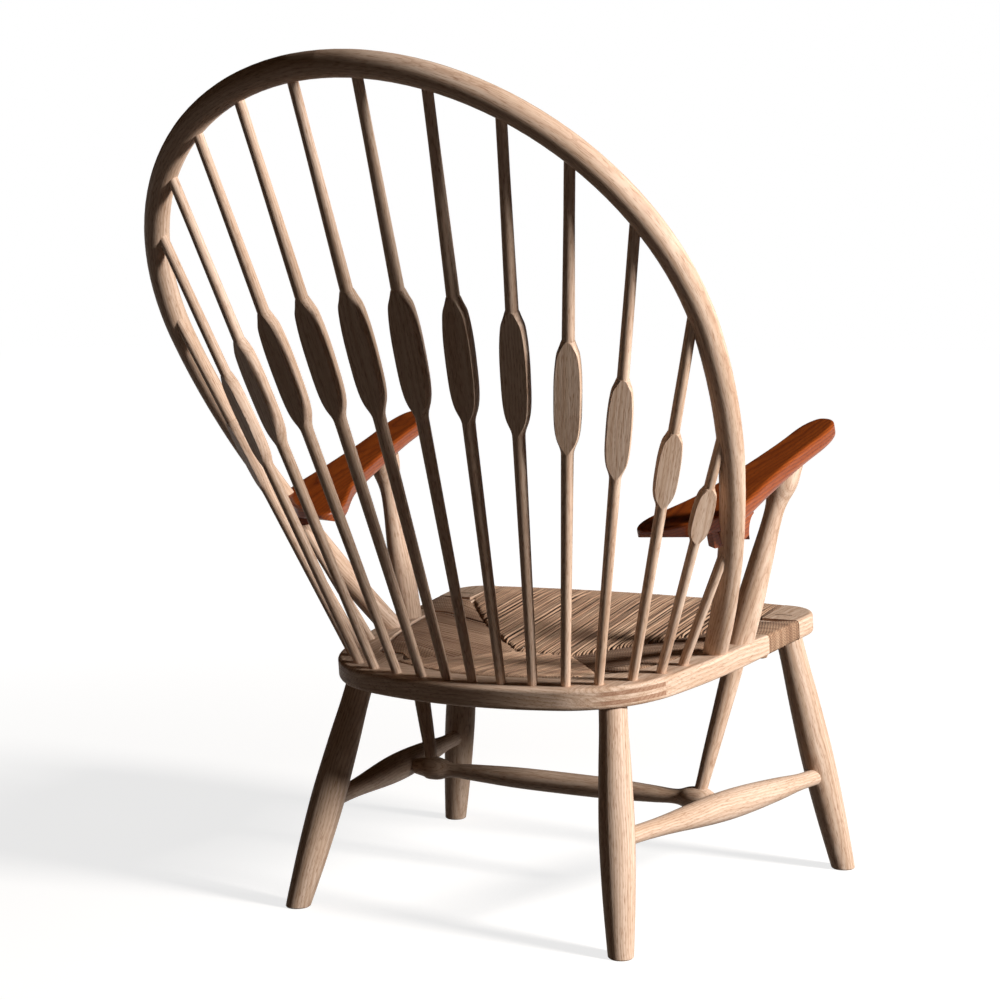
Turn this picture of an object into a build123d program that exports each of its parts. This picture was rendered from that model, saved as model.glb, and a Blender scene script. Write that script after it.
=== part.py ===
from build123d import *
import os
from math import cos, radians, sin, tan

# A peacock chair: a bent back hoop with sixteen long spindles, most of them carved into flat
# paddles, a frame seat woven with paper cord, four turned legs with an H stretcher, and two teak
# armrests on turned posts. Millimetres. +Z is up, the sitter faces -Y, the sitter's left is +X, and
# the origin is on the floor under the middle of the chair.

os.makedirs("parts", exist_ok=True)

# Fits between the pieces
fit_clearance = 0.05
socket_bottom_gap = 0.5
hoop_saddle_clearance = 0.3
overrun = 60.0

# Seat frame, lying in a plane that rises to the front
seat_rear_y = 125.3
seat_rear_height = 303.2
seat_rise_angle = 5.83
seat_thickness = 27.0
seat_edge_round = 5.0
rear_edge_radius = 520.0
rear_edge_angle = 15.05
rear_corner_radius = 145.0
rear_corner_angle = 59.95
side_edge_radius = 930.0
side_edge_angle = 10.4
side_straight = 208.0
front_edge_bow = 22.6
front_corner_radius = 48.0

# Opening and cord slots of the seat frame. Each place is a share of the seat's half width from the
# middle line, and a share of its depth from the rear edge
rear_rail_width = 69.0
front_rail_width = 47.5
opening_corner_radius = 20.0
cord_slot_width = 7.5
rear_slot_setback = 51.8
opening_shares = ((0.477, 0.194), (0.665, 0.384), (0.750, 0.650))
opening_front_share = 0.785
rear_slot_end_share = (0.472, 0.162)
side_slot_shares = ((0.631, 0.232), (0.7425, 0.415), (0.8070, 0.643))

# Woven seat of paper cord
cord_thickness = 3.5
side_wrap_start_share = 0.653
side_wrap_end_share = 0.815
front_wrap_share = 0.795
weave_dip = 17.0
weave_middle_half_width = 38.0
weave_middle_share = 0.452

# Finger joints between the rear rail and the side rails, and tenons of the front rail
finger_count = 5
finger_start_angle = 20.0
finger_end_angle = 70.7
rail_tenon_length = 24.0
rail_tenon_width = 22.0
rail_tenon_thickness = 10.0
rail_tenon_setback = 24.0

# Legs, each leaning outwards from the seat's underside to the floor
leg_radius = 21.7
leg_foot_chamfer = 1.5
rear_leg_inset = 101.8
rear_leg_setback = 72.3
rear_leg_lean_shares = (-0.1743, -0.2717)
front_leg_inset = 33.0
front_leg_setback = 69.6
front_leg_lean_shares = (-0.1754, 0.1871)
rear_tenon_radius = 11.0
rear_tenon_depth = 15.0
front_tenon_radius = 12.0
wedge_thickness = 2.4
wedge_tip_thickness = 0.6
wedge_depth = 18.0
leg_shares = (
    (-0.06, 0.64), (0.0, 0.70), (0.08, 0.78), (0.20, 0.88), (0.34, 0.96), (0.49, 1.0),
    (0.63, 0.96), (0.77, 0.895), (0.90, 0.815), (1.0, 0.797), (1.06, 0.795),
)

# Stretchers: one along each side, and one across that swells into a bulb under each arm post
stretcher_height = 129.5
side_stretcher_radius = 18.8
side_stretcher_end_radius = 10.7
cross_stretcher_radius = 14.3
cross_stretcher_end_radius = 7.6
cross_neck_radius = 9.7
bulb_radius = 15.8
bulb_inner_reach = 31.5
bulb_outer_reach = 28.0
side_stretcher_shares = (
    (0.09, 0.0), (0.20, 0.14), (0.30, 0.47), (0.40, 0.82), (0.50, 1.0),
    (0.60, 0.93), (0.70, 0.69), (0.80, 0.34), (0.91, 0.0),
)
cross_neck_shares = ((0.30, 0.96), (0.45, 0.86), (0.60, 0.65), (0.75, 0.40), (0.88, 0.14))
bulb_shares = ((0.22, 0.18), (0.45, 0.60), (0.75, 0.94))

# Arm posts, each from a bulb of the cross stretcher through the seat to an armrest
post_inset = 34.8
post_setback = 296.3
post_lean_shares = (0.2379, -0.0955)
post_foot_radius = 8.3
post_through_radius = 12.8
post_shoulder_radius = 17.6
post_waist_radius = 12.1
post_head_radius = 20.4
post_tenon_radius = 8.0
post_tenon_depth = 12.0
lower_post_shares = (
    (0.0, 0.0), (0.15, 0.17), (0.39, 0.46), (0.64, 0.71), (0.85, 0.94), (1.0, 1.0),
)
upper_post_shares = (
    (0.16, 1.0), (0.24, 0.955), (0.37, 0.71), (0.50, 0.44), (0.60, 0.17), (0.71, 0.0),
)
post_head_shares = (
    (0.757, 0.02), (0.80, 0.16), (0.838, 0.41), (0.883, 0.77), (0.925, 0.97), (0.96, 1.0),
)

# Armrests: a plank that rises to the front and outwards, with a block under it at the hoop. Each
# reach is from where the hoop's centre line meets the plank
arm_height = 505.4
arm_rise_share = 0.30
arm_cant_share = 0.05
arm_thickness = 22.0
arm_top_round = 4.0
arm_bottom_round = 8.0
arm_inner_reach = 108.4
arm_outer_reach = 7.6
arm_front_reach = 323.6
arm_rear_reach = 48.4
arm_tail_length = 46.0
arm_tail_thickness = 5.5
block_drop = 40.5
block_front_reach = 32.0
block_front_cove = 24.0
block_corners = ((-1.4, -81.6), (0.6, -19.6), (-25.4, 8.4), (-37.4, 0.4), (-41.4, -81.6))
arm_dowel_radius = 4.0
arm_dowel_drop = 9.0
arm_dowel_inset = 7.0
arm_dowel_in_arm = 28.0
arm_dowel_in_hoop = 9.0
arm_outline_shares = (
    (0.785, 0.0), (0.925, 0.022), (0.990, 0.081), (1.0, 0.154), (0.968, 0.275), (0.942, 0.464),
    (0.942, 0.631), (0.950, 0.779), (0.870, 0.873), (0.760, 0.898), (0.600, 0.942), (0.400, 0.978),
    (0.190, 1.0), (0.050, 0.985), (0.0, 0.938), (0.040, 0.876), (0.130, 0.815), (0.293, 0.6955),
    (0.370, 0.592), (0.457, 0.437), (0.526, 0.302), (0.572, 0.178), (0.600, 0.089), (0.670, 0.025),
)

# Back hoop, bent in one plane that leans back
chair_height = 1035.3
hoop_lean_angle = 35.43
hoop_plane_y = -344.8
hoop_radius = 15.3
hoop_top_bend_radius = 362.0
hoop_top_angle = 90.0
hoop_side_bend_radius = 850.0
hoop_side_angle = 13.0
hoop_lower_bend_radius = 1600.0
hoop_lower_angle = 14.0
hoop_tenon_radius = 10.0
hoop_tenon_depth = 17.0

# Spindles of one side, from the outermost to the one beside the middle
spindle_row_length = 334.5
spindle_row_inset = 20.0
spindle_foot_radius = 6.0
spindle_neck_radius = 7.8
spindle_top_radius = 6.3
spindle_seat_depth = 14.0
spindle_past_centre = 5.0
spindle_fit_length = 75.0
paddle_thickness_share = 1.02
paddle_radius = 18.4
spindle_foot_shares = (1.0, 0.8716, 0.7174, 0.569, 0.4316, 0.3024, 0.1765, 0.0561)
spindle_top_shares = (0.802, 0.636, 0.486, 0.370, 0.280, 0.2002, 0.1187, 0.040)
paddle_radius_shares = (0.0, 0.707, 0.774, 0.815, 0.880, 0.935, 0.962, 1.0)
spindle_neck_shares = (0.80, 0.80, 0.86, 0.88, 0.94, 0.97, 1.0, 1.0)
paddle_facing_angles = (0.0, 45.0, 38.0, 29.0, 22.5, 11.0, 7.0, 2.0)
paddle_bottom_shares = (0.460, 0.528, 0.480, 0.461, 0.461, 0.460, 0.458, 0.455)
paddle_top_shares = (0.665, 0.742, 0.677, 0.671, 0.670, 0.674, 0.666, 0.663)
paddle_shares = (
    (0.0, 0.0), (0.055, 0.15), (0.12, 0.52), (0.19, 0.78), (0.255, 0.90), (0.42, 0.995), (0.585, 1.0),
    (0.75, 0.90), (0.83, 0.78), (0.895, 0.61), (0.95, 0.30), (1.0, 0.0),
)


# Planes that carry the seat, the hoop and the left armrest
seat_plane = Plane(
    origin=(0, seat_rear_y, seat_rear_height),
    x_dir=(1, 0, 0),
    z_dir=(0, sin(radians(seat_rise_angle)), cos(radians(seat_rise_angle))),
)
hoop_top_height = chair_height - hoop_radius
hoop_plane = Plane(
    origin=(0, hoop_plane_y + hoop_top_height * tan(radians(hoop_lean_angle)), hoop_top_height),
    x_dir=(1, 0, 0),
    z_dir=(0, -cos(radians(hoop_lean_angle)), sin(radians(hoop_lean_angle))),
)
arm_plane = Plane(
    origin=(0, 0, arm_height), x_dir=(1, 0, arm_cant_share), z_dir=(-arm_cant_share, arm_rise_share, 1)
)


# Paths made of bends that touch
def bend(radius, angle):
    """Length and turn of a bend."""
    return radius * radians(angle), angle


def walk(moves, length):
    """Follow the moves to the right and down, and give the place and the heading there."""
    x, y, heading = 0, 0, 0
    for run, angle in moves:
        part = min(length, run)
        turn = angle * part / run
        chord = part
        if turn:
            chord = 2 * part / radians(turn) * sin(radians(turn) / 2)
        x += chord * cos(radians(heading + turn / 2))
        y -= chord * sin(radians(heading + turn / 2))
        heading += turn
        length -= part
        if length <= 0:
            break
    return x, y, heading


def path_edges(moves):
    """The edges of a path from the middle line outwards."""
    edges = []
    start = 0
    for run, angle in moves:
        near, middle, far = [walk(moves, start + run * share)[:2] for share in (0, 0.5, 1)]
        edges.append(ThreePointArc(near, middle, far) if angle else Line(near, far))
        start += run
    return edges


def mirrored(shapes):
    return [shape.mirror(Plane.YZ) for shape in shapes]


outline_moves = (
    bend(rear_edge_radius, rear_edge_angle),
    bend(rear_corner_radius, rear_corner_angle),
    bend(side_edge_radius, side_edge_angle),
    (side_straight, 0),
)
hoop_moves = (
    bend(hoop_top_bend_radius, hoop_top_angle),
    bend(hoop_side_bend_radius, hoop_side_angle),
    bend(hoop_lower_bend_radius, hoop_lower_angle),
)


def hoop_point(length):
    x, y, heading = walk(hoop_moves, length)
    return hoop_plane.from_local_coords(Vector(x, y, 0))


def where_hoop_meets(plane, depth=0):
    """Length along the hoop from its top to the plane, or to a depth below it."""
    near, far = 0, sum(run for run, angle in hoop_moves)
    for halving in range(50):
        middle = (near + far) / 2
        if plane.to_local_coords(hoop_point(middle)).Z > -depth:
            near = middle
        else:
            far = middle
    return near


hoop_length = where_hoop_meets(seat_plane)
hoop_at_arm = hoop_point(where_hoop_meets(arm_plane))
seat_half_width, front_corner_y, side_heading = walk(outline_moves, sum(run for run, angle in outline_moves))
seat_depth = front_edge_bow - front_corner_y


# Solids along a line between two points
def between(start, end, facing=None):
    """The place whose Z runs from start to end, with its Y towards a facing direction."""
    axis = end - start
    if facing is None:
        return Plane(origin=start, z_dir=axis).location
    return Plane(origin=start, x_dir=facing.cross(axis), z_dir=axis).location


def rod(start, end, radius):
    length = (end - start).length
    return between(start, end) * Cylinder(radius, length, align=(Align.CENTER, Align.CENTER, Align.MIN))


def turned(*runs):
    """A turned solid along Z, from runs of (height, radius) stations: two stations make a line."""
    up = (0, 0, 1)
    edges = []
    for run in runs:
        points = [(radius, 0, height) for height, radius in run]
        edges.append(Line(*points) if len(points) == 2 else Spline(*points, tangents=(up, up)))
    foot = (0, 0, runs[0][0][0])
    head = (0, 0, runs[-1][-1][0])
    edges = [Line(foot, edges[0] @ 0)] + edges + [Line(edges[-1] @ 1, head), Line(head, foot)]
    return revolve(make_face(edges), Axis.Z)


def blend(stations, low, high, start, length):
    """Stations from shares of a length and of the step from one radius to another."""
    return [(start + length * share, low + (high - low) * rise) for share, rise in stations]


def past(start, end, distance):
    """The point at a distance beyond end, on the line from start."""
    return end + (end - start).normalized() * distance


# Axes that several pieces share, for the sitter's left side
def seat_point(x, setback, depth=0):
    return seat_plane.from_local_coords(Vector(x, -setback, -depth))


def leg_axis(inset, setback, lean):
    """A leg's foot on the floor and the place where its axis meets the seat's underside."""
    top = seat_point(seat_half_width - inset, setback, seat_thickness)
    return top - Vector(*lean, 1) * top.Z, top


def at_height(axis, height):
    start, end = axis
    return start + (end - start) * ((height - start.Z) / (end.Z - start.Z))


rear_leg_axis = leg_axis(rear_leg_inset, rear_leg_setback, rear_leg_lean_shares)
front_leg_axis = leg_axis(front_leg_inset, seat_depth - front_leg_setback, front_leg_lean_shares)
rear_joint = at_height(rear_leg_axis, stretcher_height)
front_joint = at_height(front_leg_axis, stretcher_height)
post_on_seat = seat_point(seat_half_width - post_inset, post_setback)
post_direction = Vector(*post_lean_shares, 1)
post_foot = post_on_seat - post_direction * (post_on_seat.Z - stretcher_height)
bulb_offset = post_foot.X
cross_share = (post_foot.Y - rear_joint.Y) / (front_joint.Y - rear_joint.Y)
cross_joint = rear_joint + (front_joint - rear_joint) * cross_share


def post_meets(plane, depth=0):
    """Where the post's axis meets a plane, or a depth below it."""
    level = plane.origin - plane.z_dir * depth
    reach = (level - post_foot).dot(plane.z_dir) / post_direction.dot(plane.z_dir)
    return post_foot + post_direction * reach


post_under_seat = post_meets(seat_plane, seat_thickness)
post_under_arm = post_meets(arm_plane, arm_thickness)


def spindle_axis(number):
    """A spindle's foot on the seat and its top on the hoop's centre line."""
    x, y, heading = walk(outline_moves, spindle_row_length * spindle_foot_shares[number])
    inward = Vector(-sin(radians(heading)), -cos(radians(heading))) * spindle_row_inset
    foot = seat_plane.from_local_coords(Vector(x, y) + inward)
    return foot, hoop_point(hoop_length * spindle_top_shares[number])


spindle_numbers = range(len(spindle_foot_shares))


# Seat frame, drawn in the seat's plane with its rear edge at zero
def outline_face():
    half = path_edges(outline_moves)
    corner = half[-1] @ 1
    front = ThreePointArc(corner, (0, -seat_depth), (-corner.X, corner.Y))
    face = make_face(half + [front] + mirrored(half))
    corners = face.vertices().sort_by(Axis.Y)[:2]
    return fillet(corners, front_corner_radius)


def seat_slab():
    """The seat's whole outer shape, with its rounded edges."""
    slab = extrude(outline_face(), -seat_thickness)
    slab = fillet(slab.faces().filter_by(Axis.Z).edges(), seat_edge_round)
    return slab


def through(face):
    """A cutter through the seat."""
    return extrude(Location((0, 0, overrun)) * face, -2 * overrun - seat_thickness)


def block_from(x, y, width, depth):
    """A box cutter through the seat, centred on x, whose rear face is at y."""
    block = Box(width, depth, 2 * overrun + seat_thickness, align=(Align.CENTER, Align.MAX, Align.MAX))
    return Location((x, y, overrun)) * block


def frame_place(x_share, setback_share):
    """A place on the seat frame from its shares."""
    return x_share * seat_half_width, -setback_share * seat_depth


opening_front_corner = (opening_front_share * seat_half_width, front_rail_width - seat_depth)
front_wrap_half_width = front_wrap_share * seat_half_width


def opening_face():
    rear_end, *side = [frame_place(*shares) for shares in opening_shares]
    side.append(opening_front_corner)
    rear = ThreePointArc((-rear_end[0], rear_end[1]), (0, -rear_rail_width), rear_end)
    other = [(-x, y) for x, y in reversed(side)]
    face = make_face([rear, Polyline(rear_end, *side, *other, (-rear_end[0], rear_end[1]))])
    return fillet(face.vertices(), opening_corner_radius)


def slot_arcs(shift=0):
    """The middle lines of the rear slot and the left slot, moved outwards by a shift."""
    x, y = frame_place(*rear_slot_end_share)
    rear = ThreePointArc((-x, y + shift), (0, shift - rear_slot_setback), (x, y + shift))
    places = [frame_place(*shares) for shares in side_slot_shares]
    side = ThreePointArc(*[(x + shift, y) for x, y in places])
    return rear, side


def slot_cutters():
    rear, side = slot_arcs()
    left = through(SlotArc(side, cord_slot_width))
    return [through(SlotArc(rear, cord_slot_width)), left] + mirrored([left])


def weave_face():
    """Where cord shows: inside the slots, round the side rails and round the front rail."""
    rear, side = slot_arcs(cord_slot_width / 2)
    far = 2 * seat_depth
    wall = side @ 1
    wrap_start = side_wrap_start_share * seat_depth
    wrap_end = side_wrap_end_share * seat_depth
    line = Polyline(
        wall,
        (wall.X, -wrap_start),
        (far, -wrap_start),
        (far, -wrap_end),
        (front_wrap_half_width, -wrap_end),
        (front_wrap_half_width, -far),
        (0, -far),
    )
    half = [Line(rear @ 1, side @ 0), side, line]
    return make_face([rear] + half + mirrored(half))


def cord_recess():
    """The skin of the frame that the cord takes up, on its top, its edge and its underside."""
    core = extrude(offset(outline_face(), -cord_thickness), 2 * cord_thickness - seat_thickness)
    return (seat_slab() & through(weave_face())) - Location((0, 0, -cord_thickness)) * core


def frame_wood():
    wood = seat_slab() - through(opening_face())
    wood -= slot_cutters()
    return wood - cord_recess()


def beyond(angle, side):
    """All that lies past a line that turns about the centre of a rear corner."""
    run, heading = outline_moves[0]
    x, y, heading = walk(outline_moves, run)
    centre_x = x - rear_corner_radius * sin(radians(heading))
    centre_y = y - rear_corner_radius * cos(radians(heading))
    reach = 2 * seat_depth
    block = Box(reach, reach, reach, align=(Align.MIN, Align.CENTER, Align.CENTER))
    block = Location((centre_x, centre_y, 0), (0, 0, -angle)) * block
    return block if side > 0 else block.mirror(Plane.YZ)


def layer(number, growth=0):
    """One finger layer, counted from the top, thickened by a growth on both faces."""
    step = seat_thickness / finger_count
    reach = 4 * seat_depth
    block = Box(reach, reach, step + 2 * growth, align=(Align.CENTER, Align.CENTER, Align.MAX))
    return Location((0, 0, growth - step * number)) * block


def front_zone():
    """Where the front rail lies between the two corner blocks."""
    rear = opening_front_corner[1] + opening_corner_radius
    return block_from(0, rear, 2 * front_wrap_half_width, seat_depth)


def rail_tenon(side, growth=0):
    """The front rail's tenon in a corner block, or its mortise."""
    middle = seat_depth - rail_tenon_setback - rail_tenon_width / 2
    tenon = Box(
        2 * (rail_tenon_length + growth),
        rail_tenon_width + 2 * growth,
        rail_tenon_thickness + 2 * growth,
    )
    tenon = Location((front_wrap_half_width, -middle, -seat_thickness / 2)) * tenon
    return tenon if side > 0 else tenon.mirror(Plane.YZ)


def rear_rail():
    rail = frame_wood()
    for side in (1, -1):
        rail -= beyond(finger_end_angle, side)
        for number in range(0, finger_count, 2):
            rail -= beyond(finger_start_angle, side) & layer(number, fit_clearance)
    return seat_plane.location * rail


def side_rail():
    rail = frame_wood() & block_from(2 * seat_depth, seat_depth, 4 * seat_depth, 4 * seat_depth)
    rail = rail & beyond(finger_start_angle, 1)
    for number in range(1, finger_count, 2):
        rail -= layer(number) - beyond(finger_end_angle, 1)
    return seat_plane.location * (rail - front_zone() - rail_tenon(1, fit_clearance))


def front_rail():
    rail = frame_wood() & front_zone()
    for side in (1, -1):
        rail += rail_tenon(side)
    return seat_plane.location * rail


def half_space(plane, depth=0):
    """All that lies above a plane, or above a depth below it."""
    reach = 4 * chair_height
    block = Box(reach, reach, reach, align=(Align.CENTER, Align.CENTER, Align.MIN))
    return plane.location * Location((0, 0, -depth)) * block


def above_panel(start, end):
    """All that lies above a flat panel from an edge of the opening down to the woven middle."""
    x = weave_middle_half_width if start[0] > 0 else -weave_middle_half_width
    middle = Vector(x, -weave_middle_share * seat_depth, -weave_dip)
    near = Vector(*start)
    along = Vector(*end) - near
    rise = along.cross(middle - near)
    return half_space(Plane(origin=near, x_dir=along, z_dir=rise if rise.Z > 0 else rise * -1))


def woven_seat():
    """All the cord as one closed solid, dipped where its four panels meet in the middle."""
    weave = (seat_slab() & through(weave_face())) - frame_wood()
    side = above_panel(frame_place(*opening_shares[0]), opening_front_corner)
    rear = above_panel((1, -rear_rail_width), (-1, -rear_rail_width))
    front = above_panel((1, opening_front_corner[1]), (-1, opening_front_corner[1]))
    return seat_plane.location * (weave - (side & side.mirror(Plane.YZ) & rear & front))


# Turned pieces
def leg_body(axis):
    """A leg cut level at the floor and along the seat's underside."""
    foot, top = axis
    length = (top - foot).length
    solid = between(foot, top) * turned(blend(leg_shares, 0, leg_radius, 0, length))
    solid = (solid & half_space(Plane.XY)) - half_space(seat_plane, seat_thickness)
    return chamfer(solid.faces().sort_by(Axis.Z)[0].edges(), leg_foot_chamfer)


def rear_tenon_end(gap=0):
    foot, top = rear_leg_axis
    return past(foot, top, rear_tenon_depth + gap)


def front_tenon_end():
    """Where the front leg's axis comes out of the seat's top."""
    foot, top = front_leg_axis
    rise = (top - foot).normalized()
    return top + rise * (seat_thickness / rise.dot(seat_plane.z_dir))


def wedge():
    """The wedge that spreads a front leg's tenon, cut level with the seat's top."""
    foot, top = front_leg_axis
    end = front_tenon_end()
    profile = Polyline(
        (-wedge_thickness, wedge_depth),
        (wedge_thickness, wedge_depth),
        (wedge_tip_thickness / 2, -wedge_depth),
        (-wedge_tip_thickness / 2, -wedge_depth),
        close=True,
    )
    blade = extrude(Plane.XZ * make_face(profile), front_tenon_radius, both=True)
    blade = between(end, past(top, end, overrun)) * blade
    blade = blade & rod(top, past(top, end, wedge_depth), front_tenon_radius)
    return blade - half_space(seat_plane)


def stretcher_socket(far_end, near_end):
    return socket((far_end + near_end) / 2, near_end, side_stretcher_end_radius)


def rear_leg():
    foot, top = rear_leg_axis
    tenon = rod((foot + top) / 2, rear_tenon_end(), rear_tenon_radius)
    return leg_body(rear_leg_axis) + tenon - stretcher_socket(front_joint, rear_joint)


def front_leg():
    foot, top = front_leg_axis
    beyond_seat = past(foot, front_tenon_end(), front_tenon_radius)
    tenon = rod((foot + top) / 2, beyond_seat, front_tenon_radius)
    solid = leg_body(front_leg_axis) + (tenon - half_space(seat_plane))
    return solid - stretcher_socket(rear_joint, front_joint) - wedge()


def side_stretcher():
    length = (front_joint - rear_joint).length
    swell = blend(side_stretcher_shares, side_stretcher_end_radius, side_stretcher_radius, 0, length)
    rear_end = (0, side_stretcher_end_radius)
    front_end = (length, side_stretcher_end_radius)
    solid = turned([rear_end, swell[0]], swell, [swell[-1], front_end])
    return between(rear_joint, front_joint) * solid


def cross_stretcher():
    """Turned about the X axis, the same on both sides of the middle."""
    neck = bulb_offset - bulb_inner_reach
    outer_neck = bulb_offset + bulb_outer_reach
    half = blend(cross_neck_shares, cross_neck_radius, cross_stretcher_radius, 0, neck)
    half += [(neck, cross_neck_radius)]
    half += blend(bulb_shares, cross_neck_radius, bulb_radius, neck, bulb_inner_reach)
    half += [(bulb_offset, bulb_radius)]
    outer_bulb = blend(
        bulb_shares, cross_stretcher_end_radius, bulb_radius, outer_neck, -bulb_outer_reach
    )
    half += reversed(outer_bulb)
    half += [(outer_neck, cross_stretcher_end_radius)]
    other = [(-place, radius) for place, radius in reversed(half)]
    whole = other + [(0, cross_stretcher_radius)] + half
    right_end = (-cross_joint.X, cross_stretcher_end_radius)
    left_end = (cross_joint.X, cross_stretcher_end_radius)
    solid = turned([right_end, whole[0]], whole, [whole[-1], left_end])
    middle = Vector(0, cross_joint.Y, cross_joint.Z)
    return between(middle, cross_joint) * solid


def arm_post():
    under_seat = (post_under_seat - post_foot).length
    on_seat = (post_on_seat - post_foot).length
    upper = (post_under_arm - post_on_seat).length
    taper = blend(
        lower_post_shares, post_foot_radius, post_through_radius, bulb_radius, under_seat - bulb_radius
    )
    lower = turned(
        [(0, post_foot_radius), taper[0]],
        taper,
        [taper[-1], (on_seat + post_through_radius, post_through_radius)],
    )
    neck = blend(upper_post_shares, post_waist_radius, post_shoulder_radius, on_seat, upper)
    flare = blend(post_head_shares, post_waist_radius, post_head_radius, on_seat, upper)
    shaft = turned(
        [(under_seat, post_shoulder_radius), neck[0]],
        neck + flare,
        [flare[-1], (on_seat + upper + post_head_radius, post_head_radius)],
    )
    place = between(post_foot, post_on_seat)
    shaft = (place * shaft) & half_space(seat_plane)
    shaft -= half_space(arm_plane, arm_thickness)
    tenon = rod(post_on_seat, past(post_foot, post_under_arm, post_tenon_depth), post_tenon_radius)
    return place * lower + shaft + tenon


# Back
def tube(radius):
    """A round bar along the hoop's centre line."""
    half = path_edges(hoop_moves)
    path = hoop_plane.location * Wire(mirrored(reversed(half)) + half)
    section = Plane(origin=path @ 0, z_dir=path % 0) * Circle(radius)
    return sweep(section, path=path)


def hoop():
    bar = tube(hoop_radius) & half_space(seat_plane)
    foot = hoop_point(hoop_length)
    inside = hoop_point(hoop_length - hoop_tenon_depth)
    tenon = rod(inside, past(inside, foot, hoop_tenon_depth), hoop_tenon_radius)
    return bar + [tenon] + mirrored([tenon])


def spindle(number):
    foot, top = spindle_axis(number)
    length = (top - foot).length
    end = length + spindle_past_centre
    bottom = length * paddle_bottom_shares[number]
    paddle_top = length * paddle_top_shares[number]
    paddle_length = paddle_top - bottom
    foot_start = (-spindle_seat_depth, spindle_foot_radius)
    foot_end = (spindle_foot_radius, spindle_foot_radius)
    fit = length - spindle_fit_length
    neck_radius = spindle_neck_radius * spindle_neck_shares[number]
    if not paddle_radius_shares[number]:
        return between(foot, top) * turned(
            [foot_start, foot_end],
            [foot_end, (bottom, neck_radius)],
            [(bottom, neck_radius), (fit, spindle_top_radius)],
            [(fit, spindle_top_radius), (end, spindle_top_radius)],
        )
    swell_radius = paddle_radius * paddle_radius_shares[number]
    swell = blend(paddle_shares, neck_radius, swell_radius, bottom, paddle_length)
    run_in = neck_radius / 2
    swell = [(bottom - run_in, neck_radius)] + swell + [(paddle_top + run_in, neck_radius)]
    solid = turned(
        [foot_start, foot_end],
        [foot_end, swell[0]],
        swell,
        [swell[-1], (fit, spindle_top_radius)],
        [(fit, spindle_top_radius), (end, spindle_top_radius)],
    )
    side_wood = Box(
        4 * paddle_radius, paddle_radius, 2 * paddle_length, align=(Align.CENTER, Align.MIN, Align.CENTER)
    )
    side_wood = Location((0, neck_radius * paddle_thickness_share, (bottom + paddle_top) / 2)) * side_wood
    solid -= [side_wood, side_wood.mirror(Plane.XZ)]
    angle = radians(paddle_facing_angles[number])
    return between(foot, top, Vector(sin(angle), cos(angle))) * solid


# Armrest for the sitter's left
def on_arm(reach_x, reach_y):
    """A place on the armrest's top plane, seen from above, from where the hoop meets it."""
    x = hoop_at_arm.X + reach_x
    y = hoop_at_arm.Y + reach_y
    return arm_plane.to_local_coords(Vector(x, y, arm_height + arm_cant_share * x - arm_rise_share * y))


def arm_block():
    """The block that hugs the hoop, with a cove from the plank's underside down its front."""
    corners = [on_arm(x, y) for x, y in block_corners]
    plan = Location((0, 0, -arm_thickness / 2)) * make_face(Polyline(*corners, close=True))
    front = on_arm(arm_outer_reach, -block_front_reach).Y
    under = -arm_thickness
    cove = [(front - block_front_cove, under), (front, under - block_front_cove)]
    centre = (front - block_front_cove, under - block_front_cove)
    slant = block_front_cove * sin(radians(45))
    rear = on_arm(0, arm_rear_reach).Y
    profile = make_face(
        [
            ThreePointArc(cove[0], (centre[0] + slant, centre[1] + slant), cove[1]),
            Polyline(
                cove[1],
                (front, -block_drop),
                (rear, -block_drop),
                (rear, -arm_thickness / 2),
                (cove[0][0], -arm_thickness / 2),
                cove[0],
            ),
        ]
    )
    across = extrude(Plane.YZ * profile, 2 * hoop_at_arm.X)
    return across & extrude(plan, -block_drop)


def under_tail():
    """What the tail's underside leaves free as it curves up to the thin rear end."""
    start = on_arm(0, arm_rear_reach).Y - arm_tail_length
    rise = arm_thickness - arm_tail_thickness
    radius = (arm_tail_length ** 2 + rise ** 2) / (2 * rise)
    reach = 4 * arm_inner_reach
    tail = Box(2 * hoop_at_arm.X, reach, reach, align=(Align.MIN, Align.MIN, Align.CENTER))
    kept = Location((0, start, radius - arm_thickness), (0, 90, 0)) * Cylinder(radius, 4 * hoop_at_arm.X)
    return Location((0, start, 0)) * tail - kept


def armrest():
    width = arm_outer_reach + arm_inner_reach
    length = arm_rear_reach + arm_front_reach
    outline = [
        on_arm(width * x - arm_inner_reach, length * y - arm_front_reach) for x, y in arm_outline_shares
    ]
    plank = extrude(make_face(Spline(*outline, periodic=True)), -arm_thickness)
    plank = fillet(plank.faces().sort_by(Axis.Z)[-1].edges(), arm_top_round)
    plank = fillet(plank.faces().sort_by(Axis.Z)[0].edges(), arm_bottom_round)
    return arm_plane.location * (plank - under_tail() + arm_block()) - tube(hoop_radius + hoop_saddle_clearance)


def arm_dowel_ends(gap=0):
    """A dowel along the plank, from inside the hoop to inside the armrest."""
    centre = hoop_point(where_hoop_meets(arm_plane, arm_dowel_drop)) - Vector(arm_dowel_inset, 0, 0)
    forward = arm_plane.y_dir * -1
    start = centre + forward * (hoop_radius - arm_dowel_in_hoop - gap)
    return start, centre + forward * (hoop_radius + arm_dowel_in_arm + gap)


# Sockets, mortises and holes, each cut a clearance wider than what fits in it
def socket(start, end, radius, gap=socket_bottom_gap):
    """A round socket from an open start to an end that leaves a gap."""
    return rod(start, past(start, end, gap), radius + fit_clearance)


def spindle_socket_in_seat(number):
    foot, top = spindle_axis(number)
    return socket((foot + top) / 2, past(top, foot, spindle_seat_depth), spindle_foot_radius)


def spindle_socket_in_hoop(number):
    foot, top = spindle_axis(number)
    start = past(foot, top, -spindle_fit_length)
    return socket(start, past(foot, top, spindle_past_centre), spindle_top_radius)


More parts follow.
